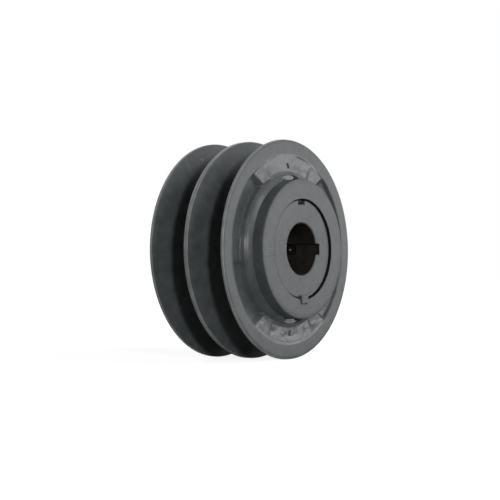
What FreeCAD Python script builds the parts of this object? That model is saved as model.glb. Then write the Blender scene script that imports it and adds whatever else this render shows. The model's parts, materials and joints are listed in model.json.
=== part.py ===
import FreeCAD, Part
import math
import os

# Adjustable two-groove V-belt sheave, in millimetres.
# The shaft axis is Y and the front of the sheave faces -Y.  +Z is twelve o'clock and +X is three
# o'clock, seen from the front.  The origin is on the shaft axis, in the middle of the fixed
# centre flange.  Each moving flange screws along the threaded barrel to open or close its groove.

# Overall sizes
flange_diameter = 120.65
shaft_diameter = 28.575
barrel_wall = 12.7
hub_wall = 11.1125

# Belt grooves
groove_slope = 0.25
centre_rim_width = 2.4
root_gap_closed = 0.26
thread_lead = 1.27
turns_open = 4
rim_edge_round = 0.35

# Threaded barrel
barrel_recess = 1.15
barrel_end_chamfer = 0.45
bore_chamfer = 0.5
bore_keyway_width = 6.35
bore_keyway_depth = 2.94

# Moving flange
rim_land = 0.8
rim_round_axial = 1.0
rim_round_radial = 1.325
rim_face_width = 6.5
rim_wall_draft = 1.3
web_at_rim = 2.2
web_at_hub = 2.7
hub_height = 10.95
hub_edge_chamfer = 0.6
hub_bore_chamfer = 0.35
turned_hub_length = 5.95
shoulder_width = 2.4
shoulder_drop = 2.0
shoulder_round = 0.8
web_fillet = 2.2
pad_half_angle = 39.0
pad_dish_half_angle = 24.0
pad_below_rim_face = 0.2
pad_rise = 1.5
dish_depth = 1.1
dish_slope_width = 3.9
access_half_angle = 15.0
access_floor = 1.2
rib_width = 14.0
rib_height = 1.0
pad_overlap = 0.3

# Keys that lock the moving flanges to the barrel
key_width = 6.35
key_height = 4.7625
key_length = 17.5
key_proud = 0.8
key_chamfer = 0.35
key_in_barrel = 1.84
key_side_clearance = 0.04
key_end_clearance = 0.9
key_top_clearance = 0.15

# Setscrews: cup point, hexagon socket
flange_screw_diameter = 6.35
key_screw_length = 7.9375
lock_screw_length = 12.7
flange_screw_socket = 3.175
flange_screw_from_face = 4.65
shaft_screw_diameter = 7.9375
shaft_screw_length = 7.9375
shaft_screw_socket = 3.96875
shaft_screw_sunk = 0.65
shaft_screw_wall_margin = 0.2
screw_clearance = 0.1
screw_seat_gap = 0.05
screw_end_chamfer = 0.5
socket_depth_share = 0.55

# Fits
thread_clearance = 0.05

# Sizes that follow from the ones above
flange_r = flange_diameter / 2
bore_r = shaft_diameter / 2
barrel_r = bore_r + barrel_wall
hub_r = barrel_r + hub_wall
flange_bore_r = barrel_r + thread_clearance
groove_depth = flange_r - barrel_r
centre_root_half = centre_rim_width / 2 + groove_slope * groove_depth
rim_closed = centre_root_half + groove_slope * groove_depth + root_gap_closed
rim_rest = rim_closed + turns_open * thread_lead
closing_travel = turns_open * thread_lead
hub_face_rest = rim_rest + hub_height
barrel_half = hub_face_rest - barrel_recess
rim_face_height = rim_land + rim_round_axial
rim_face_outer_r = flange_r - rim_round_radial
rim_face_inner_r = rim_face_outer_r - rim_face_width
shoulder_top = hub_height - turned_hub_length
shoulder_r = hub_r + shoulder_width
barrel_keyway_floor_r = barrel_r - key_in_barrel - screw_seat_gap
key_bottom_r = barrel_r - key_in_barrel
key_top_r = key_bottom_r + key_height
flange_keyway_top_r = key_top_r + key_top_clearance
keyway_width = key_width + 2 * key_side_clearance
key_outer_end = hub_face_rest + key_proud
key_inner_end = key_outer_end - key_length
barrel_keyway_end = key_inner_end - closing_travel - key_end_clearance
flange_screw_at = hub_face_rest - flange_screw_from_face
shaft_screw_r = shaft_screw_diameter / 2
shaft_screw_at = centre_root_half + shaft_screw_r + shaft_screw_wall_margin

ORIGIN = FreeCAD.Vector(0, 0, 0)
SHAFT_AXIS = FreeCAD.Vector(0, 1, 0)
UP = FreeCAD.Vector(0, 0, 1)
RIGHT = FreeCAD.Vector(1, 0, 0)
EDGE_MARGIN = 2.0


def point(radius, along):
    """A point of a half-section: radius from the shaft axis, distance along it."""
    return FreeCAD.Vector(radius, along, 0)


def half_section(start, steps):
    """Face bounded by straight steps (one point) and arcs (a middle point and an end point)."""
    edges = []
    here = start
    for step in steps + [[start]]:
        end = step[-1]
        if len(step) == 1:
            edges.append(Part.LineSegment(point(*here), point(*end)).toShape())
        else:
            edges.append(Part.Arc(point(*here), point(*step[0]), point(*end)).toShape())
        here = end
    return Part.Face(Part.Wire(edges))


def turned(start, steps):
    """Solid of revolution of a half-section about the shaft axis."""
    return half_section(start, steps).revolve(ORIGIN, SHAFT_AXIS, 360)


def sector(start, steps, half_angle, clock_direction):
    """Part of a turned solid, within half_angle degrees of three o'clock turned by clock_direction."""
    solid = half_section(start, steps).revolve(ORIGIN, SHAFT_AXIS, 2 * half_angle)
    solid.rotate(ORIGIN, SHAFT_AXIS, -half_angle - clock_direction)
    return solid


def box(low, high):
    """Box between two opposite corners."""
    size = [b - a for a, b in zip(low, high)]
    return Part.makeBox(size[0], size[1], size[2], FreeCAD.Vector(*low))


def cylinder(radius, start, direction, length):
    """Cylinder from a start point along a direction."""
    return Part.makeCylinder(radius, length, start, direction)


def groove_wall(radius):
    """Height of a moving flange's belt face above the edge of its rim, negative towards the groove."""
    return -groove_slope * (flange_r - radius)


def centre_wall(radius):
    """Distance of the centre flange's belt face from its middle plane."""
    return centre_rim_width / 2 + groove_slope * (flange_r - radius)


def hub_barrel():
    """Threaded barrel and fixed centre flange, one casting, with its bore, keyways and screw hole."""
    end_r = barrel_r - barrel_end_chamfer
    rim_in = flange_r - rim_edge_round
    rim_half = centre_rim_width / 2 - rim_edge_round / 2
    body = turned(
        (bore_r + bore_chamfer, -barrel_half),
        [
            [(end_r, -barrel_half)],
            [(barrel_r, -barrel_half + barrel_end_chamfer)],
            [(barrel_r, -centre_root_half)],
            [(rim_in, -centre_wall(rim_in))],
            [(flange_r, -rim_half)],
            [(flange_r, rim_half)],
            [(rim_in, centre_wall(rim_in))],
            [(barrel_r, centre_root_half)],
            [(barrel_r, barrel_half - barrel_end_chamfer)],
            [(end_r, barrel_half)],
            [(bore_r + bore_chamfer, barrel_half)],
            [(bore_r, barrel_half - bore_chamfer)],
            [(bore_r, -barrel_half + bore_chamfer)],
        ],
    )
    past_end = barrel_half + EDGE_MARGIN
    body = body.cut(box(
        (0, -past_end, -bore_keyway_width / 2),
        (bore_r + bore_keyway_depth, past_end, bore_keyway_width / 2),
    ))
    outside = barrel_r + EDGE_MARGIN
    for side in (-1, 1):
        low_y, high_y = sorted((side * barrel_keyway_end, side * past_end))
        for low_z, high_z in ((barrel_keyway_floor_r, outside), (-outside, -barrel_keyway_floor_r)):
            body = body.cut(box((-keyway_width / 2, low_y, low_z), (keyway_width / 2, high_y, high_z)))
    hole_start = FreeCAD.Vector(bore_r, -shaft_screw_at, 0)
    body = body.cut(cylinder(shaft_screw_r, hole_start, RIGHT, barrel_wall + EDGE_MARGIN))
    return body


def flange_pad(clock_direction):
    """Thick cast pad between rim and hub, dished in its middle, on the clock direction in degrees."""
    foot_r = hub_r - EDGE_MARGIN
    rim_r = rim_face_inner_r + pad_overlap
    rim_top = rim_face_height - pad_below_rim_face
    hub_top = rim_top + pad_rise
    floor_in = groove_wall(foot_r) + web_at_hub / 2
    floor_out = groove_wall(rim_r) + web_at_rim / 2
    raised = sector(
        (foot_r, floor_in),
        [[(rim_r, floor_out)], [(rim_r, rim_top)], [(shoulder_r + shoulder_round, hub_top)], [(foot_r, hub_top)]],
        pad_half_angle, clock_direction,
    )
    dish_floor = rim_top - dish_depth
    dish_inner_r = shoulder_r + shoulder_round
    slope_top_r = rim_face_inner_r - EDGE_MARGIN
    slope_foot_r = slope_top_r - dish_slope_width
    fillet = web_fillet
    lean = fillet * (1 - math.sqrt(0.5))
    dish = sector(
        (dish_inner_r, dish_floor + fillet),
        [
            [(dish_inner_r + lean, dish_floor + lean), (dish_inner_r + fillet, dish_floor)],
            [(slope_foot_r, dish_floor)],
            [(slope_top_r, rim_top)],
            [(slope_top_r, hub_top + EDGE_MARGIN)],
            [(dish_inner_r, hub_top + EDGE_MARGIN)],
        ],
        pad_dish_half_angle, clock_direction,
    )
    return raised.cut(dish)


def screw_access(clock_direction):
    """Space cast into the hub's shoulder beside a setscrew hole, for the wrench."""
    outer_r = shoulder_r + shoulder_round + EDGE_MARGIN
    return sector(
        (hub_r, access_floor),
        [[(outer_r, access_floor)], [(outer_r, hub_height)], [(hub_r, hub_height)]],
        access_half_angle, clock_direction,
    )


def flange_rib(side):
    """Low cast rib across the thin web at three o'clock (side 1) or nine o'clock (side -1)."""
    inner_r = hub_r - EDGE_MARGIN
    outer_r = rim_face_inner_r + pad_overlap
    band = turned(
        (inner_r, groove_wall(inner_r) + web_at_hub / 2),
        [
            [(outer_r, groove_wall(outer_r) + web_at_rim / 2)],
            [(outer_r, groove_wall(outer_r) + web_at_rim + rib_height)],
            [(inner_r, groove_wall(inner_r) + web_at_hub + rib_height)],
        ],
    )
    reach = flange_r
    low_x, high_x = sorted((0, side * reach))
    return band.common(box((low_x, -reach, -rib_width / 2), (high_x, reach, rib_width / 2)))


def rear_flange():
    """Moving flange: rim, thin web, two pads and the threaded hub with its keyway and screw holes."""
    inner_face = groove_wall(flange_bore_r + hub_bore_chamfer)
    rim_in = flange_r - rim_edge_round
    mid = math.sqrt(0.5)
    wall_foot_r = rim_face_inner_r - rim_wall_draft
    web_out = groove_wall(wall_foot_r) + web_at_rim
    web_in_r = shoulder_r + shoulder_round + web_fillet
    web_in = groove_wall(web_in_r) + web_at_hub
    lean = web_fillet * (1 - mid)
    shoulder_foot = shoulder_top - shoulder_drop
    flange = turned(
        (flange_bore_r + hub_bore_chamfer, inner_face),
        [
            [(rim_in, groove_wall(rim_in))],
            [(flange_r, rim_edge_round / 2)],
            [(flange_r, rim_land)],
            [
                (rim_face_outer_r + rim_round_radial * mid, rim_land + rim_round_axial * mid),
                (rim_face_outer_r, rim_face_height),
            ],
            [(rim_face_inner_r, rim_face_height)],
            [(wall_foot_r, web_out)],
            [(web_in_r, web_in)],
            [
                (web_in_r - web_fillet + lean, web_in + lean),
                (web_in_r - web_fillet, web_in + web_fillet),
            ],
            [(shoulder_r + shoulder_round, shoulder_foot - shoulder_round)],
            [(shoulder_r, shoulder_foot)],
            [(hub_r, shoulder_top)],
            [(hub_r, hub_height - hub_edge_chamfer)],
            [(hub_r - hub_edge_chamfer, hub_height)],
            [(flange_bore_r + hub_bore_chamfer, hub_height)],
            [(flange_bore_r, hub_height - hub_bore_chamfer)],
            [(flange_bore_r, inner_face + hub_bore_chamfer)],
        ],
    )
    for clock_direction in (90, -90):
        flange = flange.fuse(flange_pad(clock_direction))
    for side in (-1, 1):
        flange = flange.fuse(flange_rib(side))
    for clock_direction in (90, -90):
        flange = flange.cut(screw_access(clock_direction))
    flange = flange.removeSplitter()
    flange.translate(FreeCAD.Vector(0, rim_rest, 0))
    keyway = box(
        (-keyway_width / 2, 0, -flange_keyway_top_r),
        (keyway_width / 2, hub_face_rest + EDGE_MARGIN, -barrel_keyway_floor_r),
    )
    flange = flange.cut(keyway)
    for direction in (UP, -UP):
        start = FreeCAD.Vector(0, flange_screw_at, 0) + direction * (barrel_r - EDGE_MARGIN)
        flange = flange.cut(cylinder(flange_screw_diameter / 2, start, direction, hub_wall + 2 * EDGE_MARGIN))
    return flange


def rear_flange_key():
    """Square-ended steel key, standing just proud of the hub so that it can be pulled."""
    key = box(
        (-key_width / 2, key_inner_end, -key_top_r),
        (key_width / 2, key_outer_end, -key_bottom_r),
    )
    return key.makeChamfer(key_chamfer, key.Edges)


def setscrew(diameter, length, socket, tip, direction):
    """Socket setscrew with a cup point: tip is the middle of the point, direction leads to the socket."""
    radius = diameter / 2 - screw_clearance
    screw = cylinder(radius, tip, direction, length)
    ends = [edge for edge in screw.Edges if len(edge.Vertexes) == 1]
    screw = screw.makeChamfer(screw_end_chamfer, ends)
    cup_r = radius - 2 * screw_end_chamfer
    cup = Part.makeCone(cup_r, cup_r / 2, cup_r / 2, tip, direction)
    depth = length * socket_depth_share
    corner_r = socket / math.sqrt(3)
    across = SHAFT_AXIS
    beside = direction.cross(across)
    base = tip + direction * (length - depth)
    corners = []
    for step in range(7):
        angle = math.radians(60 * step)
        corners.append(base + across * (corner_r * math.cos(angle)) + beside * (corner_r * math.sin(angle)))
    hexagon = Part.Face(Part.makePolygon(corners)).extrude(direction * (depth + EDGE_MARGIN))
    return screw.cut(cup).cut(hexagon)


def rear_key_setscrew():
    """Setscrew at six o'clock that clamps the key."""
    tip = FreeCAD.Vector(0, flange_screw_at, -key_top_r - screw_seat_gap)
    return setscrew(flange_screw_diameter, key_screw_length, flange_screw_socket, tip, -UP)


def rear_lock_setscrew():
    """Setscrew at twelve o'clock that reaches down into the barrel's second keyway."""
    tip = FreeCAD.Vector(0, flange_screw_at, barrel_keyway_floor_r + screw_seat_gap)
    return setscrew(flange_screw_diameter, lock_screw_length, flange_screw_socket, tip, UP)


def shaft_setscrew():
    """Setscrew through the barrel wall over the bore's keyway, at the foot of the front groove."""
    tip = FreeCAD.Vector(barrel_r - shaft_screw_sunk - shaft_screw_length, -shaft_screw_at, 0)
    return setscrew(shaft_screw_diameter, shaft_screw_length, shaft_screw_socket, tip, RIGHT)


def at_front(shape):
    """The same piece on the front flange: a half turn about the twelve o'clock axis."""
    copy = shape.copy()
    copy.rotate(ORIGIN, UP, 180)
    return copy


def write(name, shape):
    """Write one node as a STEP file."""
    shape.exportStep(os.path.join("parts", name + ".step"))


os.makedirs("parts", exist_ok=True)
write("hub_barrel", hub_barrel())
write("shaft_setscrew", shaft_setscrew())
FLANGE_PIECES = {
    "flange": rear_flange(),
    "flange_key": rear_flange_key(),
    "key_setscrew": rear_key_setscrew(),
    "lock_setscrew": rear_lock_setscrew(),
}
for piece_name, piece in FLANGE_PIECES.items():
    write("rear_" + piece_name, piece)
    write("front_" + piece_name, at_front(piece))
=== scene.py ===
import json
import math

import bpy
from mathutils import Matrix, Vector, noise


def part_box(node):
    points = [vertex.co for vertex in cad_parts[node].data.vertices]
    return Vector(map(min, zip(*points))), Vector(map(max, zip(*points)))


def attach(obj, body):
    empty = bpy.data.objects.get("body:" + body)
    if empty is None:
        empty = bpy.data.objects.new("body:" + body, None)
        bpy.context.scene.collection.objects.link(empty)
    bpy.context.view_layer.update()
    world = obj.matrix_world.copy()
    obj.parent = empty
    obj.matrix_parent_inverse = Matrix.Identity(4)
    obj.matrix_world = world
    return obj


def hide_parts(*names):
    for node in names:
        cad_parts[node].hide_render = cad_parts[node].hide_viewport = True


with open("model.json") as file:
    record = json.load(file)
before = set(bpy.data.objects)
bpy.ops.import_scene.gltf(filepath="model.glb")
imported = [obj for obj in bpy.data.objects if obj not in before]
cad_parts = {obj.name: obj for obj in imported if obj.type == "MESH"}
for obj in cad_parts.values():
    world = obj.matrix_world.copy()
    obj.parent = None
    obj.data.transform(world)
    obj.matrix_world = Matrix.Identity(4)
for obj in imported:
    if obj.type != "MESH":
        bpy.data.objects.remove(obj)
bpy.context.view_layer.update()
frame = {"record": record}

# ---------------------------------------------------------------------------------------------
# The view.  The sheave stands on its rims with its shaft level, seen from the left of its front
# face, a little off square to the shaft, through a long lens.
# ---------------------------------------------------------------------------------------------
mm = 0.001
rear_low, rear_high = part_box("rear_flange")
flange_r = rear_high.x
hub_face = rear_high.y

view_turn = math.radians(-53.68)
view_rise = math.radians(-0.45)
view_roll = math.radians(-0.62)
view_distance = 782.4 * mm
aim = Vector((0, 2.2 * mm, 0))

back = Vector((
    math.sin(view_turn) * math.cos(view_rise),
    -math.cos(view_turn) * math.cos(view_rise),
    math.sin(view_rise),
))
level_right = Vector((0, 0, 1)).cross(back).normalized()
level_up = back.cross(level_right)
right = level_right * math.cos(view_roll) + level_up * math.sin(view_roll)
up = back.cross(right)
place = aim + back * view_distance

bpy.ops.object.select_all(action="DESELECT")
bpy.ops.object.camera_add()
camera = bpy.context.object
camera.name = "camera"
camera.matrix_world = Matrix((
    (right.x, up.x, back.x, place.x),
    (right.y, up.y, back.y, place.y),
    (right.z, up.z, back.z, place.z),
    (0, 0, 0, 1),
))
camera.data.sensor_width = 36
camera.data.lens = 100.5
camera.data.clip_start = 10 * mm
bpy.context.scene.camera = camera
bpy.context.scene.view_settings.view_transform = "Standard"

# ---------------------------------------------------------------------------------------------
# The studio.  A pale table under the rims, a white surround, and four soft lamps: a big one to
# the right of the front, a small one to its left, a weak one above it and a weak one behind.
# ---------------------------------------------------------------------------------------------
table_z = -flange_r
table_size = 9.0

bpy.ops.mesh.primitive_grid_add(x_subdivisions=12, y_subdivisions=12, size=table_size)
table = bpy.context.object
table.name = "table"
table.location.z = table_z

table_paint = bpy.data.materials.new("pale_table")
table_paint.use_nodes = True
table_nodes = table_paint.node_tree.nodes
table_links = table_paint.node_tree.links
table_nodes["Principled BSDF"].inputs["Base Color"].default_value = (0.8, 0.8, 0.8, 1)
table_nodes["Principled BSDF"].inputs["Roughness"].default_value = 0.9
table_nodes["Principled BSDF"].inputs["Specular IOR Level"].default_value = 0.0
seen = table_nodes.new("ShaderNodeLightPath")
lift = table_nodes.new("ShaderNodeEmission")
table_place = table_nodes.new("ShaderNodeTexCoord")
table_reach = table_nodes.new("ShaderNodeVectorMath")
table_reach.operation = "LENGTH"
lift_range = table_nodes.new("ShaderNodeMapRange")
lift_range.inputs["From Min"].default_value = 0.12
lift_range.inputs["From Max"].default_value = 0.45
lift_range.inputs["To Min"].default_value = 0.86
lift_range.inputs["To Max"].default_value = 1.0
table_links.new(table_place.outputs["Object"], table_reach.inputs[0])
table_links.new(table_reach.outputs["Value"], lift_range.inputs["Value"])
table_links.new(lift_range.outputs["Result"], lift.inputs["Strength"])
dark = table_nodes.new("ShaderNodeEmission")
dark.inputs["Strength"].default_value = 0.0
lift_or_dark = table_nodes.new("ShaderNodeMixShader")
both = table_nodes.new("ShaderNodeAddShader")
table_links.new(seen.outputs["Is Camera Ray"], lift_or_dark.inputs["Fac"])
table_links.new(dark.outputs["Emission"], lift_or_dark.inputs[1])
table_links.new(lift.outputs["Emission"], lift_or_dark.inputs[2])
table_links.new(table_nodes["Principled BSDF"].outputs["BSDF"], both.inputs[0])
table_links.new(lift_or_dark.outputs["Shader"], both.inputs[1])
table_links.new(both.outputs["Shader"], table_nodes["Material Output"].inputs["Surface"])
table.data.materials.append(table_paint)

surround = bpy.data.worlds.new("surround")
bpy.context.scene.world = surround
surround.use_nodes = True
sky_nodes = surround.node_tree.nodes
sky_links = surround.node_tree.links
ambient = sky_nodes["Background"]
ambient.inputs["Color"].default_value = (1, 1, 1, 1)
ambient.inputs["Strength"].default_value = 0.025
white = sky_nodes.new("ShaderNodeBackground")
white.inputs["Color"].default_value = (1, 1, 1, 1)
white.inputs["Strength"].default_value = 1.0
ray = sky_nodes.new("ShaderNodeLightPath")
camera_or_gloss = sky_nodes.new("ShaderNodeMath")
camera_or_gloss.operation = "MAXIMUM"
sky_mix = sky_nodes.new("ShaderNodeMixShader")
sky_links.new(ray.outputs["Is Camera Ray"], camera_or_gloss.inputs[0])
sky_links.new(ray.outputs["Is Glossy Ray"], camera_or_gloss.inputs[1])
sky_links.new(camera_or_gloss.outputs["Value"], sky_mix.inputs["Fac"])
sky_links.new(ambient.outputs["Background"], sky_mix.inputs[1])
sky_links.new(white.outputs["Background"], sky_mix.inputs[2])
sky_links.new(sky_mix.outputs["Shader"], sky_nodes["World Output"].inputs["Surface"])


def soft_lamp(name, bearing, rise, distance, size, watts):
    """Square lamp on a bearing (degrees from the front, positive to the right), aimed at the sheave."""
    angle = math.radians(bearing)
    lift_angle = math.radians(rise)
    direction = Vector((
        math.sin(angle) * math.cos(lift_angle),
        -math.cos(angle) * math.cos(lift_angle),
        math.sin(lift_angle),
    ))
    bpy.ops.object.light_add(type="AREA", location=direction * distance)
    lamp = bpy.context.object
    lamp.name = name
    lamp.rotation_euler = direction.to_track_quat("Z", "Y").to_euler()
    lamp.data.shape = "SQUARE"
    lamp.data.size = size
    lamp.data.energy = watts


soft_lamp("right_lamp", 49, -7, 1.4, 0.62, 9.5)
soft_lamp("left_lamp", -36, 8, 1.5, 0.16, 6.0)
soft_lamp("back_lamp", 180, 30, 1.5, 0.6, 3.5)
soft_lamp("front_lamp", 8, 34, 1.3, 0.5, 3.0)

# ---------------------------------------------------------------------------------------------
# Rear and front flanges.  Each is a grey iron casting with a thin web, two thick pads at twelve
# and six o'clock and a heavy hub.  Belt face, rim, hub and thread are turned, and the whole is
# then painted grey.  The two are alike, the front one turned round to face the other way.
# ---------------------------------------------------------------------------------------------
groove_slope = 0.25
rim_land = 0.8 * mm
rim_round = 1.325 * mm
rim_rise = 1.0 * mm
rim_edge = 0.35 * mm
rim_face_width = 6.5 * mm
hub_height = 10.95 * mm
hub_r = 38.1 * mm
hub_edge = 0.6 * mm
thread_r = 27.0375 * mm
thread_edge = 0.35 * mm
seam_width = 0.22 * mm
shoulder_top = 4.2 * mm
shoulder_foot = 1.7 * mm
shoulder_r = 41.2 * mm
web_at_rim = 2.2 * mm
web_at_hub = 2.7 * mm
web_fillet = 1.8 * mm
rim_wall_width = 1.5 * mm
rib_rise = 0.9 * mm
rib_half = 5.8 * mm
rib_flank = 2.0 * mm
pad_drop = 0.2 * mm
pad_rise = 0.2 * mm
pad_half_angle = 41.0
pad_taper = 5.0
pad_flank = 4.0
dish_floor = 1.4 * mm
dish_half_angle = 24.0
dish_flank = 2.4
dish_margin = 1.6 * mm
dish_slope = 4.0 * mm
access_floor = 1.5 * mm
access_half_angle = 14.0
access_slope = 0.5 * mm
lump_rise = 0.20 * mm
small_lump_rise = 0.07 * mm
face_side = 1 * mm
weld_reach = 0.0005 * mm
past = 1 * mm
rim_y = hub_face - hub_height
rim_face = rim_land + rim_rise
rim_face_out = flange_r - rim_round
rim_face_in = rim_face_out - rim_face_width


def belt_wall(radius):
    """Height of the flange's belt face over the edge of its rim."""
    return -groove_slope * (flange_r - radius)


def evenly(start, end, count):
    """Points of a straight run, from start up to but not including end."""
    return [tuple(a + (b - a) * i / count for a, b in zip(start, end)) for i in range(count)]


def rounded(centre, radii, from_degrees, to_degrees, count):
    """Points of a rounded edge, as part of an ellipse about its centre."""
    points = []
    for i in range(count + 1):
        angle = math.radians(from_degrees + (to_degrees - from_degrees) * i / count)
        points.append((centre[0] + radii[0] * math.cos(angle), centre[1] + radii[1] * math.sin(angle)))
    return points


def ease(value):
    """Smooth step from 0 to 1."""
    value = min(max(value, 0.0), 1.0)
    return value * value * (3 - 2 * value)


def spin_outline(name, outline, steps, gaps=()):
    """Turn a half-section of (radius, along) points about the shaft axis; gaps lists edges left open."""
    bpy.ops.object.select_all(action="DESELECT")
    bpy.ops.mesh.primitive_circle_add(vertices=len(outline), radius=flange_r)
    piece = bpy.context.object
    piece.name = name
    for vertex, (radius, along) in zip(piece.data.vertices, outline):
        vertex.co = (radius, along, 0)
    bpy.ops.object.mode_set(mode="EDIT")
    bpy.ops.mesh.select_mode(type="EDGE")
    bpy.ops.mesh.select_all(action="DESELECT")
    bpy.ops.object.mode_set(mode="OBJECT")
    for edge in piece.data.edges:
        edge.select = any(set(edge.vertices) == {gap, (gap + 1) % len(outline)} for gap in gaps)
    bpy.ops.object.mode_set(mode="EDIT")
    bpy.ops.mesh.delete(type="EDGE_FACE")
    bpy.ops.mesh.select_mode(type="VERT")
    bpy.ops.mesh.select_all(action="SELECT")
    bpy.ops.mesh.spin(steps=steps, angle=math.tau, center=(0, 0, 0), axis=(0, 1, 0))
    bpy.ops.mesh.select_all(action="SELECT")
    bpy.ops.mesh.remove_doubles(threshold=weld_reach)
    bpy.ops.mesh.normals_make_consistent(inside=False)
    bpy.ops.object.mode_set(mode="OBJECT")
    return piece


def pad_top(radius):
    """Top of a thick pad: just under the rim face at the rim, rising to the hub's shoulder."""
    inwards = (rim_face_in - radius) / (rim_face_in - shoulder_r)
    return rim_face - pad_drop + (shoulder_foot + pad_rise - rim_face + pad_drop) * inwards * inwards


def dish_top(radius):
    """The hollow in the middle of a pad: a slope down from the rim, then a level floor."""
    slope_start = rim_face_in - dish_margin
    slope_end = slope_start - dish_slope
    down = ease((slope_start - radius) / (slope_start - slope_end))
    return (rim_face - pad_drop) + (dish_floor - rim_face + pad_drop) * down


def shoulder_height(radius, from_pad):
    """Rounded shoulder at the foot of the turned hub, scooped out beside each setscrew hole."""
    share = (shoulder_r - radius) / (shoulder_r - hub_r)
    bulge = 0.35 * math.sqrt(1 - (1 - share) ** 2) + 0.65 * share
    height = shoulder_foot + (shoulder_top - shoulder_foot) * bulge
    reach = math.sqrt(max(0.0, 1 - (from_pad / access_half_angle) ** 2))
    scoop_r = hub_r + (shoulder_r - hub_r) * reach
    scooped = ease((scoop_r - radius) / access_slope)
    return height + (access_floor - height) * scooped


def cast_height(x, z):
    """Height of the rough cast part of the face over the edge of the rim."""
    radius = math.hypot(x, z)
    inwards = (rim_face_in - radius) / (rim_face_in - shoulder_r)
    from_pad = math.degrees(math.atan2(abs(x), abs(z)))
    pad_end = pad_half_angle - pad_taper * inwards
    on_pad = 1 - ease((from_pad - pad_end + pad_flank / 2) / pad_flank)
    in_dish = 1 - ease((from_pad - dish_half_angle + dish_flank / 2) / dish_flank)
    web = belt_wall(radius) + web_at_rim + (web_at_hub - web_at_rim) * inwards
    rib = rib_rise * (1 - ease((abs(z) - rib_half) / rib_flank))
    hollow = dish_top(radius)
    raised = pad_top(radius) * (1 - in_dish) + hollow * in_dish
    height = (web + rib) * (1 - on_pad) + raised * on_pad
    if radius < shoulder_r:
        return shoulder_height(radius, from_pad)
    fillet_r = shoulder_r + web_fillet
    climb = min(max((fillet_r - radius) / (fillet_r - shoulder_r), 0.0), 1.0)
    height += (shoulder_foot - height) * ease(climb)
    wall = ease((rim_face_in - radius) / rim_wall_width)
    height = rim_face + (height - rim_face) * wall
    away = min(wall, ease((radius - shoulder_r) / (1.0 * mm)))
    lumps = noise.noise(Vector((x, z, 0)) * 150) * lump_rise
    lumps += noise.noise(Vector((x, z, 0.3)) * 420) * small_lump_rise
    return height + lumps * away


def flange_outline():
    """Closed half-section of a flange, from the foot of the belt face round to the bore."""
    foot = thread_r + thread_edge
    rim_in = flange_r - rim_edge
    points = evenly((foot, belt_wall(foot)), (rim_in, belt_wall(rim_in)), 14)
    points += [(rim_in, belt_wall(rim_in)), (flange_r - rim_edge * 0.3, 0.02 * mm)]
    points += evenly((flange_r, rim_edge * 0.6), (flange_r, rim_land), 2)
    points += [(flange_r, rim_land), (flange_r - 0.25 * mm, rim_land + 0.06 * mm)]
    points += rounded((rim_face_out, rim_land), (rim_round, rim_rise), 18, 90, 6)[:-1]
    points += evenly((rim_face_out, rim_face), (rim_face_in, rim_face), 5)
    points += evenly((rim_face_in, rim_face), (shoulder_r, shoulder_foot), 42)
    points += evenly((shoulder_r, shoulder_foot), (hub_r + 0.02 * mm, shoulder_top), 11)
    points += [(hub_r + 0.02 * mm, shoulder_top)]
    points += evenly((hub_r, shoulder_top + 0.3 * mm), (hub_r, hub_height - hub_edge), 3)
    points += rounded((hub_r - hub_edge, hub_height - hub_edge), (hub_edge, hub_edge), 0, 90, 4)[:-1]
    points += evenly((hub_r - hub_edge, hub_height), (foot + seam_width, hub_height), 4)
    points += [(foot + seam_width, hub_height), (foot, hub_height)]
    inner = belt_wall(foot)
    points += evenly((thread_r, hub_height - thread_edge), (thread_r, inner + thread_edge), 4)
    points += [(thread_r, inner + thread_edge)]
    return [(radius, rim_y + along) for radius, along in points]


def cut(piece, cutter):
    """Take a cutter's shape out of a piece, and throw the cutter away."""
    bpy.ops.object.select_all(action="DESELECT")
    piece.select_set(True)
    bpy.context.view_layer.objects.active = piece
    boolean = piece.modifiers.new("cut", "BOOLEAN")
    boolean.operation = "DIFFERENCE"
    boolean.solver = "EXACT"
    boolean.object = cutter
    bpy.ops.object.modifier_apply(modifier="cut")
    bpy.data.objects.remove(cutter)


def block(low, high):
    """Block between two corners, for cutting a keyway."""
    bpy.ops.object.select_all(action="DESELECT")
    size = Vector(high) - Vector(low)
    bpy.ops.mesh.primitive_cube_add(size=1, location=(Vector(high) + Vector(low)) / 2, scale=size)
    bpy.ops.object.transform_apply(location=True, rotation=True, scale=True)
    return bpy.context.object


def drill(radius, start, end, sides=48):
    """Straight drill from start to end, for cutting a round hole."""
    bpy.ops.object.select_all(action="DESELECT")
    run = Vector(end) - Vector(start)
    turn = run.to_track_quat("Z", "Y").to_euler()
    middle = (Vector(start) + Vector(end)) / 2
    bpy.ops.mesh.primitive_cylinder_add(
        vertices=sides, radius=radius, depth=run.length, location=middle, rotation=turn)
    bpy.ops.object.transform_apply(location=True, rotation=True, scale=True)
    return bpy.context.object


def joined(pieces):
    """Make one object of several."""
    bpy.ops.object.select_all(action="DESELECT")
    for piece in pieces:
        piece.select_set(True)
    bpy.context.view_layer.objects.active = pieces[0]
    bpy.ops.object.join()
    return pieces[0]


def smooth(piece, degrees=32):
    """Smooth shading that keeps corners sharper than this."""
    bpy.ops.object.select_all(action="DESELECT")
    piece.select_set(True)
    bpy.context.view_layer.objects.active = piece
    bpy.ops.object.shade_smooth_by_angle(angle=math.radians(degrees))


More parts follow.
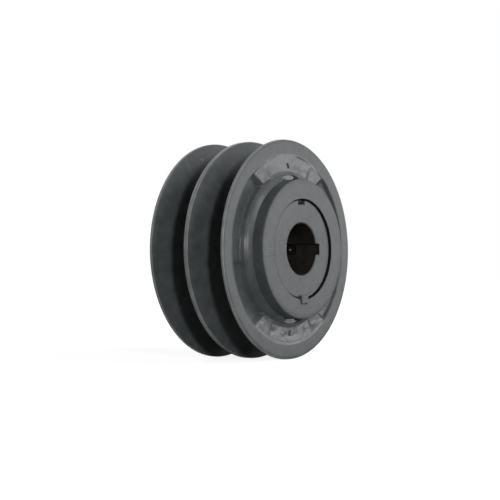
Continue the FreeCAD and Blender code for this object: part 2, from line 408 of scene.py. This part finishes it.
def paint(name, colour, mottle, roughness, grain_scale, grain_depth, ring_depth, nick_share):
    """Grey paint over iron: cloudy colour, uneven gloss, a grained or turned skin and a few nicks."""
    material = bpy.data.materials.new(name)
    material.use_nodes = True
    nodes = material.node_tree.nodes
    links = material.node_tree.links
    shader = nodes["Principled BSDF"]
    place_node = nodes.new("ShaderNodeTexCoord")

    clouds = nodes.new("ShaderNodeTexNoise")
    clouds.inputs["Scale"].default_value = 150
    clouds.inputs["Detail"].default_value = 8
    clouds.inputs["Roughness"].default_value = 0.62
    links.new(place_node.outputs["Object"], clouds.inputs["Vector"])
    tone = nodes.new("ShaderNodeValToRGB")
    tone.color_ramp.elements[0].position = 0.3
    tone.color_ramp.elements[0].color = [c * (1 - mottle) for c in colour] + [1]
    tone.color_ramp.elements[1].position = 0.7
    tone.color_ramp.elements[1].color = [c * (1 + mottle) for c in colour] + [1]
    links.new(clouds.outputs["Fac"], tone.inputs["Fac"])

    specks = nodes.new("ShaderNodeTexVoronoi")
    specks.inputs["Scale"].default_value = 230
    links.new(place_node.outputs["Object"], specks.inputs["Vector"])
    nick = nodes.new("ShaderNodeValToRGB")
    nick.color_ramp.elements[0].position = nick_share
    nick.color_ramp.elements[0].color = (1, 1, 1, 1)
    nick.color_ramp.elements[1].position = nick_share + 0.03
    nick.color_ramp.elements[1].color = (0, 0, 0, 1)
    links.new(specks.outputs["Distance"], nick.inputs["Fac"])
    chosen = nodes.new("ShaderNodeValToRGB")
    chosen.color_ramp.elements[0].position = 0.80
    chosen.color_ramp.elements[0].color = (0, 0, 0, 1)
    chosen.color_ramp.elements[1].position = 0.84
    chosen.color_ramp.elements[1].color = (1, 1, 1, 1)
    links.new(specks.outputs["Color"], chosen.inputs["Fac"])
    nick_mask = nodes.new("ShaderNodeMath")
    nick_mask.operation = "MULTIPLY"
    links.new(nick.outputs["Color"], nick_mask.inputs[0])
    links.new(chosen.outputs["Color"], nick_mask.inputs[1])
    nicked = nodes.new("ShaderNodeMix")
    nicked.data_type = "RGBA"
    nicked.inputs["B"].default_value = (0.30, 0.31, 0.31, 1)
    links.new(nick_mask.outputs["Value"], nicked.inputs["Factor"])
    links.new(tone.outputs["Color"], nicked.inputs["A"])
    links.new(nicked.outputs["Result"], shader.inputs["Base Color"])

    gloss = nodes.new("ShaderNodeMapRange")
    gloss.inputs["To Min"].default_value = roughness - 0.07
    gloss.inputs["To Max"].default_value = roughness + 0.09
    links.new(clouds.outputs["Fac"], gloss.inputs["Value"])
    links.new(gloss.outputs["Result"], shader.inputs["Roughness"])
    shader.inputs["Specular IOR Level"].default_value = 0.4

    grain = nodes.new("ShaderNodeTexNoise")
    grain.inputs["Scale"].default_value = grain_scale
    grain.inputs["Detail"].default_value = 5
    grain.inputs["Roughness"].default_value = 0.6
    links.new(place_node.outputs["Object"], grain.inputs["Vector"])
    skin = nodes.new("ShaderNodeBump")
    skin.inputs["Strength"].default_value = 1.0
    skin.inputs["Distance"].default_value = grain_depth
    links.new(grain.outputs["Fac"], skin.inputs["Height"])
    last = skin
    if ring_depth:
        rings = nodes.new("ShaderNodeTexWave")
        rings.wave_type = "RINGS"
        rings.rings_direction = "Y"
        rings.inputs["Scale"].default_value = 520
        rings.inputs["Distortion"].default_value = 0.4
        rings.inputs["Detail"].default_value = 1
        links.new(place_node.outputs["Object"], rings.inputs["Vector"])
        last = nodes.new("ShaderNodeBump")
        last.inputs["Strength"].default_value = 1.0
        last.inputs["Distance"].default_value = ring_depth
        links.new(rings.outputs["Fac"], last.inputs["Height"])
        links.new(skin.outputs["Normal"], last.inputs["Normal"])
        parts = nodes.new("ShaderNodeSeparateXYZ")
        around = nodes.new("ShaderNodeMath")
        around.operation = "ARCTAN2"
        fan = nodes.new("ShaderNodeCombineXYZ")
        chatter = nodes.new("ShaderNodeTexNoise")
        chatter.inputs["Scale"].default_value = 34
        chatter.inputs["Detail"].default_value = 4
        chatter.inputs["Roughness"].default_value = 0.7
        streaks = nodes.new("ShaderNodeBump")
        streaks.inputs["Strength"].default_value = 1.0
        streaks.inputs["Distance"].default_value = 0.14 * mm
        links.new(place_node.outputs["Object"], parts.inputs["Vector"])
        links.new(parts.outputs["X"], around.inputs[0])
        links.new(parts.outputs["Z"], around.inputs[1])
        links.new(around.outputs["Value"], fan.inputs["X"])
        links.new(parts.outputs["Y"], fan.inputs["Y"])
        links.new(fan.outputs["Vector"], chatter.inputs["Vector"])
        links.new(chatter.outputs["Fac"], streaks.inputs["Height"])
        links.new(last.outputs["Normal"], streaks.inputs["Normal"])
        last = streaks
    links.new(last.outputs["Normal"], shader.inputs["Normal"])
    return material


paint_grey = (0.105, 0.116, 0.119)
turned_paint = paint(
    "grey_paint_on_turned_iron", paint_grey, 0.24, 0.40, 600, 0.035 * mm, 0.010 * mm, 0.10)
cast_paint = paint("grey_paint_on_cast_iron", paint_grey, 0.26, 0.32, 420, 0.09 * mm, 0, 0.09)

# Lighter paint on the rim lands: partly paint rubbed thin at the rims, partly a painted highlight standing
# in for light caught on their rounded edges.
rim_wear_and_highlight_paint = paint("rim_wear_and_painted_highlight", (0.33, 0.345, 0.35), 0.25, 0.34, 600, 0.02 * mm, 0, 0.16)

rear_flange = spin_outline("rear_flange_casting", flange_outline(), 640)
for vertex in rear_flange.data.vertices:
    radius = math.hypot(vertex.co.x, vertex.co.z)
    over_belt_face = vertex.co.y - rim_y - belt_wall(radius)
    if hub_r + 0.01 * mm < radius < rim_face_in and over_belt_face > face_side:
        vertex.co.y = rim_y + cast_height(vertex.co.x, vertex.co.z)

key_low, key_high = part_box("rear_flange_key")
lock_low, lock_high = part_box("rear_lock_setscrew")
screw_y = (lock_low.y + lock_high.y) / 2
keyway_half = key_high.x + 0.04 * mm
keyway_top = key_low.z - 0.15 * mm
cut(rear_flange, block(
    (-keyway_half, rear_low.y - past, keyway_top),
    (keyway_half, hub_face + past, -thread_r + 2.5 * past),
))
screw_hole_r = 3.175 * mm
for side in (1, -1):
    cut(rear_flange, drill(
        screw_hole_r, (0, screw_y, side * (thread_r - 2 * past)), (0, screw_y, side * (hub_r + 2 * past))))

arrow_r = 46.4 * mm
arrow_size = 1.9 * mm
arrow_thick = 1.4 * mm
arrow_bevel = 0.22 * mm
arrows = []
for side in (1, -1):
    bpy.ops.object.select_all(action="DESELECT")
    bpy.ops.mesh.primitive_cylinder_add(
        vertices=3, radius=arrow_size, depth=arrow_thick, rotation=(math.pi / 2, 0, 0),
        location=(0, rim_y + dish_floor, side * arrow_r))
    arrow = bpy.context.object
    bpy.ops.object.transform_apply(location=True, rotation=True, scale=True)
    heights = [vertex.co.z for vertex in arrow.data.vertices]
    tip = max(heights) if side < 0 else min(heights)
    pointing_in = sum(abs(height - tip) < 0.01 * mm for height in heights) == 2
    if not pointing_in:
        half_turn = Matrix.Rotation(math.pi, 4, "Y")
        arrow.data.transform(Matrix.Translation((0, 0, 2 * side * arrow_r)) @ half_turn)
    bpy.ops.object.mode_set(mode="EDIT")
    bpy.ops.mesh.select_all(action="SELECT")
    bpy.ops.mesh.bevel(offset=arrow_bevel, segments=2)
    bpy.ops.object.mode_set(mode="OBJECT")
    arrows.append(arrow)
rear_flange = joined([rear_flange] + arrows)

# A near-black ring round the bore edge of each hub face is painted shade. It stands in for the shadowed
# gap where the flange's thread meets the barrel.
seam_shade = bpy.data.materials.new("painted_seam_shade")
seam_shade.use_nodes = True
seam_shade_shader = seam_shade.node_tree.nodes["Principled BSDF"]
seam_shade_shader.inputs["Base Color"].default_value = (0.012, 0.011, 0.010, 1)
seam_shade_shader.inputs["Roughness"].default_value = 0.9
seam_shade_shader.inputs["Specular IOR Level"].default_value = 0.1
rear_flange.data.materials.clear()
for material in (turned_paint, cast_paint, rim_wear_and_highlight_paint, seam_shade):
    rear_flange.data.materials.append(material)
for face in rear_flange.data.polygons:
    radius = math.hypot(face.center.x, face.center.z)
    over_belt_face = face.center.y - rim_y - belt_wall(radius)
    rough = hub_r + 0.3 * mm < radius < rim_face_in - 0.1 * mm and over_belt_face > face_side
    face.material_index = 1 if rough else 0
    # Rim lands take the lighter paint, rubbed wear and painted highlight together.
    if radius > flange_r - 0.6 * mm:
        face.material_index = 2
    # Painted seam shade on a thin ring at the bore edge of the hub face.
    if radius < thread_r + thread_edge + 0.9 * seam_width and over_belt_face > face_side:
        face.material_index = 3
smooth(rear_flange)


def copy_to_front(piece, name):
    """The same piece for the front flange, turned half round about the twelve o'clock axis."""
    bpy.ops.object.select_all(action="DESELECT")
    twin = piece.copy()
    twin.data = piece.data.copy()
    twin.name = name
    bpy.context.collection.objects.link(twin)
    twin.data.transform(Matrix.Rotation(math.pi, 4, "Z"))
    return twin


front_flange = copy_to_front(rear_flange, "front_flange_casting")
for side, flange in (("rear", rear_flange), ("front", front_flange)):
    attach(flange, side + "_flange")
    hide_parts(side + "_flange")

# ---------------------------------------------------------------------------------------------
# The barrel with the fixed centre flange.  One iron casting, turned and screw-cut on the outside
# from both ends, bored and keyed for the shaft, with two milled keyways at each end and a tapped
# hole over the shaft's key.  The bore is left bare and has tarnished; the rest is painted.
# ---------------------------------------------------------------------------------------------
barrel_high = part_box("hub_barrel")[1]
barrel_end = barrel_high.y
shaft_mount = frame["record"]["mounts"][0]
bore_r = shaft_mount["dims"]["r_mm"] * mm
running_gap = 0.05 * mm
barrel_r = thread_r - running_gap
bore_chamfer = 0.5 * mm
centre_half = 1.2 * mm
thread_lead = 1.27 * mm
thread_depth = 0.62 * mm
root_half = centre_half + groove_slope * (flange_r - barrel_r)
thread_start = root_half + 0.15 * mm
relief_r = 26.7 * mm
relief_length = 1.7 * mm
thread_end = barrel_end - relief_length
barrel_steps = 288


def screw_thread(name, crest_r, depth, lead, start, end, steps):
    """Open tube about the shaft axis with a right-hand thread that fades out at both ends."""
    turn_marks = (0.0, 0.14, 0.5, 0.64)
    turns = math.ceil((end - start) / lead) + 1
    rows = turns * len(turn_marks) + 1
    bpy.ops.object.select_all(action="DESELECT")
    bpy.ops.mesh.primitive_grid_add(x_subdivisions=steps, y_subdivisions=rows - 1, size=1)
    tube = bpy.context.object
    tube.name = name
    for vertex in tube.data.vertices:
        column = round((vertex.co.x + 0.5) * steps)
        row = round((vertex.co.y + 0.5) * (rows - 1))
        share = column / steps
        mark = row % len(turn_marks)
        along = start + (row // len(turn_marks) + turn_marks[mark] + share - 1) * lead
        along = min(max(along, start), end)
        fade = ease((along - start) / (0.5 * lead)) * ease((end - along) / (0.5 * lead))
        radius = crest_r - (depth * fade if mark >= 2 else 0)
        angle = -math.tau * share
        vertex.co = (radius * math.cos(angle), along, radius * math.sin(angle))
    return tube


def barrel_outline():
    """Half-section of the barrel and centre flange, with two gaps for the threads."""
    rim_in = flange_r - rim_edge
    face_r = relief_r - 0.15 * mm
    out = [(barrel_r, thread_end), (relief_r, thread_end + 0.2 * mm), (relief_r, barrel_end - 0.15 * mm)]
    out += evenly((face_r, barrel_end), (bore_r + bore_chamfer, barrel_end), 4)
    out += [(bore_r + bore_chamfer, barrel_end)]
    out += evenly((bore_r, barrel_end - bore_chamfer), (bore_r, -barrel_end + bore_chamfer), 16)
    out += [(bore_r, -barrel_end + bore_chamfer)]
    out += evenly((bore_r + bore_chamfer, -barrel_end), (face_r, -barrel_end), 4)
    out += [(face_r, -barrel_end), (relief_r, -barrel_end + 0.15 * mm)]
    out += [(relief_r, -thread_end - 0.2 * mm), (barrel_r, -thread_end)]
    first_gap = len(out) - 1
    rim_wall = centre_half + groove_slope * rim_edge
    out += [(barrel_r, -thread_start)]
    out += evenly((barrel_r, -root_half), (rim_in, -rim_wall), 14)
    out += [(rim_in, -rim_wall), (flange_r - rim_edge * 0.3, -centre_half + 0.02 * mm)]
    out += evenly((flange_r, -centre_half + rim_edge * 0.6), (flange_r, centre_half - rim_edge * 0.6), 3)
    out += [(flange_r, centre_half - rim_edge * 0.6), (flange_r - rim_edge * 0.3, centre_half - 0.02 * mm)]
    out += evenly((rim_in, rim_wall), (barrel_r, root_half), 14)
    out += [(barrel_r, root_half), (barrel_r, thread_start)]
    return out, first_gap


def welded(pieces):
    """Join pieces whose open edges meet into one closed skin."""
    whole = joined(pieces)
    bpy.ops.object.mode_set(mode="EDIT")
    bpy.ops.mesh.select_mode(type="VERT")
    bpy.ops.mesh.select_all(action="SELECT")
    bpy.ops.mesh.remove_doubles(threshold=weld_reach)
    bpy.ops.mesh.normals_make_consistent(inside=False)
    bpy.ops.object.mode_set(mode="OBJECT")
    return whole


barrel_points, gap_after = barrel_outline()
thread_gaps = (gap_after, len(barrel_points) - 1)
barrel = spin_outline("barrel_and_centre_flange", barrel_points, barrel_steps, thread_gaps)
rear_thread = screw_thread(
    "rear_thread", barrel_r, thread_depth, thread_lead, thread_start, thread_end, barrel_steps)
front_thread = screw_thread(
    "front_thread", barrel_r, thread_depth, thread_lead, -thread_end, -thread_start, barrel_steps)
barrel = welded([barrel, rear_thread, front_thread])

keyway_floor = 17.23 * mm
shaft_keyway_half = 3.175 * mm
outer_keyway_floor = -key_high.z - running_gap
outer_keyway_end = key_low.y - 5.98 * mm
empty_slot_extra = 0.9 * mm
cut(barrel, block(
    (0, -barrel_end - past, -shaft_keyway_half), (keyway_floor, barrel_end + past, shaft_keyway_half)))
keyways = []
for along in (1, -1):
    near, far = sorted((along * outer_keyway_end, along * (barrel_end + past)))
    for side in (1, -1):
        floor = outer_keyway_floor - (empty_slot_extra if side > 0 else 0)
        low_z, high_z = sorted((side * floor, side * (barrel_r + past)))
        keyways.append(block((-keyway_half, near, low_z), (keyway_half, far, high_z)))
cut(barrel, joined(keyways))
shaft_screw_low, shaft_screw_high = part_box("shaft_setscrew")
shaft_screw_y = (shaft_screw_low.y + shaft_screw_high.y) / 2
shaft_screw_hole_r = 3.97 * mm
cut(barrel, drill(
    shaft_screw_hole_r, (bore_r + past, shaft_screw_y, 0), (barrel_r + past, shaft_screw_y, 0), 64))

bare = bpy.data.materials.new("tarnished_bore")
bare.use_nodes = True
bare_nodes = bare.node_tree.nodes
bare_links = bare.node_tree.links
bare_shader = bare_nodes["Principled BSDF"]
bare_shader.inputs["Metallic"].default_value = 0.85
bare_place = bare_nodes.new("ShaderNodeTexCoord")
stain = bare_nodes.new("ShaderNodeTexNoise")
stain.inputs["Scale"].default_value = 140
stain.inputs["Detail"].default_value = 6
bare_links.new(bare_place.outputs["Object"], stain.inputs["Vector"])
stain_tone = bare_nodes.new("ShaderNodeValToRGB")
stain_tone.color_ramp.elements[0].color = (0.035, 0.030, 0.022, 1)
stain_tone.color_ramp.elements[1].color = (0.16, 0.15, 0.13, 1)
bare_links.new(stain.outputs["Fac"], stain_tone.inputs["Fac"])
bare_links.new(stain_tone.outputs["Color"], bare_shader.inputs["Base Color"])
bare_gloss = bare_nodes.new("ShaderNodeMapRange")
bare_gloss.inputs["To Min"].default_value = 0.30
bare_gloss.inputs["To Max"].default_value = 0.55
bare_links.new(stain.outputs["Fac"], bare_gloss.inputs["Value"])
bare_links.new(bare_gloss.outputs["Result"], bare_shader.inputs["Roughness"])
tool_marks = bare_nodes.new("ShaderNodeTexWave")
tool_marks.wave_type = "BANDS"
tool_marks.bands_direction = "Y"
tool_marks.inputs["Scale"].default_value = 700
tool_marks.inputs["Distortion"].default_value = 1.0
bare_links.new(bare_place.outputs["Object"], tool_marks.inputs["Vector"])
bare_bump = bare_nodes.new("ShaderNodeBump")
bare_bump.inputs["Strength"].default_value = 1.0
bare_bump.inputs["Distance"].default_value = 0.008 * mm
bare_links.new(tool_marks.outputs["Fac"], bare_bump.inputs["Height"])
bare_links.new(bare_bump.outputs["Normal"], bare_shader.inputs["Normal"])

barrel.data.materials.clear()
for material in (turned_paint, bare, rim_wear_and_highlight_paint):
    barrel.data.materials.append(material)
for face in barrel.data.polygons:
    radius = math.hypot(face.center.x, face.center.z)
    inside = radius < bore_r + 0.1 * mm or (
        face.center.x > 0 and abs(face.center.z) < 3.2 * mm and radius < keyway_floor + 0.2 * mm
        and abs(face.normal.y) < 0.5)
    in_hole = face.center.x > 0 and abs(face.center.z) < 4 * mm and radius < barrel_r - 0.8 * mm
    in_hole = in_hole and abs(face.center.y - shaft_screw_y) < 4.1 * mm and abs(face.normal.y) < 0.99
    face.material_index = 1 if inside or in_hole else 0
    # The centre flange's rim land takes the same lighter paint, rubbed wear and painted highlight
    # together.
    if radius > flange_r - 0.6 * mm:
        face.material_index = 2
smooth(barrel)
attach(barrel, "hub_barrel")
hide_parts("hub_barrel")

# ---------------------------------------------------------------------------------------------
# Flange keys.  Lengths of key steel with eased edges, driven in at six o'clock to stop each
# flange from turning on its thread, and painted with the rest.  They stand proud to be pulled.
# ---------------------------------------------------------------------------------------------
key_ease = 0.35 * mm
dent_depth = 0.12 * mm


def key_bar(name, low, high):
    """Bar between two corners, with its edges eased and a shallow hammered end."""
    bar = block(low, high)
    bar.name = name
    bpy.ops.object.mode_set(mode="EDIT")
    bpy.ops.mesh.select_all(action="SELECT")
    bpy.ops.mesh.bevel(offset=key_ease, segments=3, profile=0.5)
    bpy.ops.mesh.select_all(action="SELECT")
    bpy.ops.mesh.subdivide(number_cuts=3)
    bpy.ops.object.mode_set(mode="OBJECT")
    for vertex in bar.data.vertices:
        if vertex.co.y > high[1] - 0.02 * mm:
            dent = noise.noise(Vector(vertex.co) * 900)
            vertex.co.y -= dent_depth * max(0.0, dent)
    bar.data.materials.clear()
    bar.data.materials.append(turned_paint)
    smooth(bar, 40)
    return bar


rear_key = key_bar("rear_key", tuple(key_low), tuple(key_high))
front_key = copy_to_front(rear_key, "front_key")
for side, key in (("rear", rear_key), ("front", front_key)):
    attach(key, side + "_flange_key")
    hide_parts(side + "_flange_key")

# ---------------------------------------------------------------------------------------------
# Setscrews.  Hardened steel, thread rolled or cut over the whole length, hexagon socket in one
# end and a cup point on the other, blackened.  Two hold each flange and its key, and a thicker one
# over the bore's keyway holds the sheave to its shaft.
# ---------------------------------------------------------------------------------------------
black = bpy.data.materials.new("black_oxide")
black.use_nodes = True
black_nodes = black.node_tree.nodes
black_links = black.node_tree.links
black_shader = black_nodes["Principled BSDF"]
black_shader.inputs["Metallic"].default_value = 0.7
black_place = black_nodes.new("ShaderNodeTexCoord")
haze = black_nodes.new("ShaderNodeTexNoise")
haze.inputs["Scale"].default_value = 900
haze.inputs["Detail"].default_value = 4
black_links.new(black_place.outputs["Object"], haze.inputs["Vector"])
haze_tone = black_nodes.new("ShaderNodeValToRGB")
haze_tone.color_ramp.elements[0].color = (0.018, 0.018, 0.020, 1)
haze_tone.color_ramp.elements[1].color = (0.075, 0.072, 0.070, 1)
black_links.new(haze.outputs["Fac"], haze_tone.inputs["Fac"])
black_links.new(haze_tone.outputs["Color"], black_shader.inputs["Base Color"])
haze_gloss = black_nodes.new("ShaderNodeMapRange")
haze_gloss.inputs["To Min"].default_value = 0.28
haze_gloss.inputs["To Max"].default_value = 0.50
black_links.new(haze.outputs["Fac"], haze_gloss.inputs["Value"])
black_links.new(haze_gloss.outputs["Result"], black_shader.inputs["Roughness"])
screw_end = 0.5 * mm
screw_steps = 48


def socket_screw(name, radius, length, lead, socket, tip, direction):
    """Setscrew from its cup point at tip, along direction, to its socket end."""
    depth = 0.45 * lead
    core = radius - depth
    cup = core * 0.55
    outline = [(0, cup * 0.5), (cup * 0.5, cup * 0.5), (cup, 0), (core, 0)]
    outline += [(radius, screw_end), (radius, length - screw_end)]
    outline += [(core, length), (socket, length), (core * 0.4, length), (0, length)]
    body = spin_outline(name, outline, screw_steps, (4, 9))
    thread = screw_thread(
        name + "_thread", radius, depth, lead, screw_end, length - screw_end, screw_steps)
    body = welded([body, thread])
    socket_depth = 0.5 * length
    cut(body, drill(
        socket / math.sqrt(3), (0, length - socket_depth, 0), (0, length + past, 0), 6))
    body.data.transform(Vector((0, 1, 0)).rotation_difference(direction).to_matrix().to_4x4())
    body.data.transform(Matrix.Translation(tip))
    body.data.materials.clear()
    body.data.materials.append(black)
    smooth(body, 35)
    return body


key_screw_low, key_screw_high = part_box("rear_key_setscrew")
flange_screw_r = (key_screw_high.x - key_screw_low.x) / 2
flange_screw_socket = 3.175 * mm
shaft_screw_lead = 1.41 * mm
shaft_screw_socket = 3.97 * mm
rear_key_screw = socket_screw(
    "rear_key_screw", flange_screw_r, key_screw_high.z - key_screw_low.z, thread_lead,
    flange_screw_socket, Vector((0, screw_y, key_screw_high.z)), Vector((0, 0, -1)))
rear_lock_screw = socket_screw(
    "rear_lock_screw", flange_screw_r, lock_high.z - lock_low.z, thread_lead,
    flange_screw_socket, Vector((0, screw_y, lock_low.z)), Vector((0, 0, 1)))
front_key_screw = copy_to_front(rear_key_screw, "front_key_screw")
front_lock_screw = copy_to_front(rear_lock_screw, "front_lock_screw")
shaft_screw = socket_screw(
    "shaft_screw", (shaft_screw_high.z - shaft_screw_low.z) / 2,
    shaft_screw_high.x - shaft_screw_low.x, shaft_screw_lead, shaft_screw_socket,
    Vector((shaft_screw_low.x, shaft_screw_y, 0)), Vector((1, 0, 0)))
for screw, node in (
    (rear_key_screw, "rear_key_setscrew"),
    (rear_lock_screw, "rear_lock_setscrew"),
    (front_key_screw, "front_key_setscrew"),
    (front_lock_screw, "front_lock_setscrew"),
    (shaft_screw, "shaft_setscrew"),
):
    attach(screw, node)
    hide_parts(node)
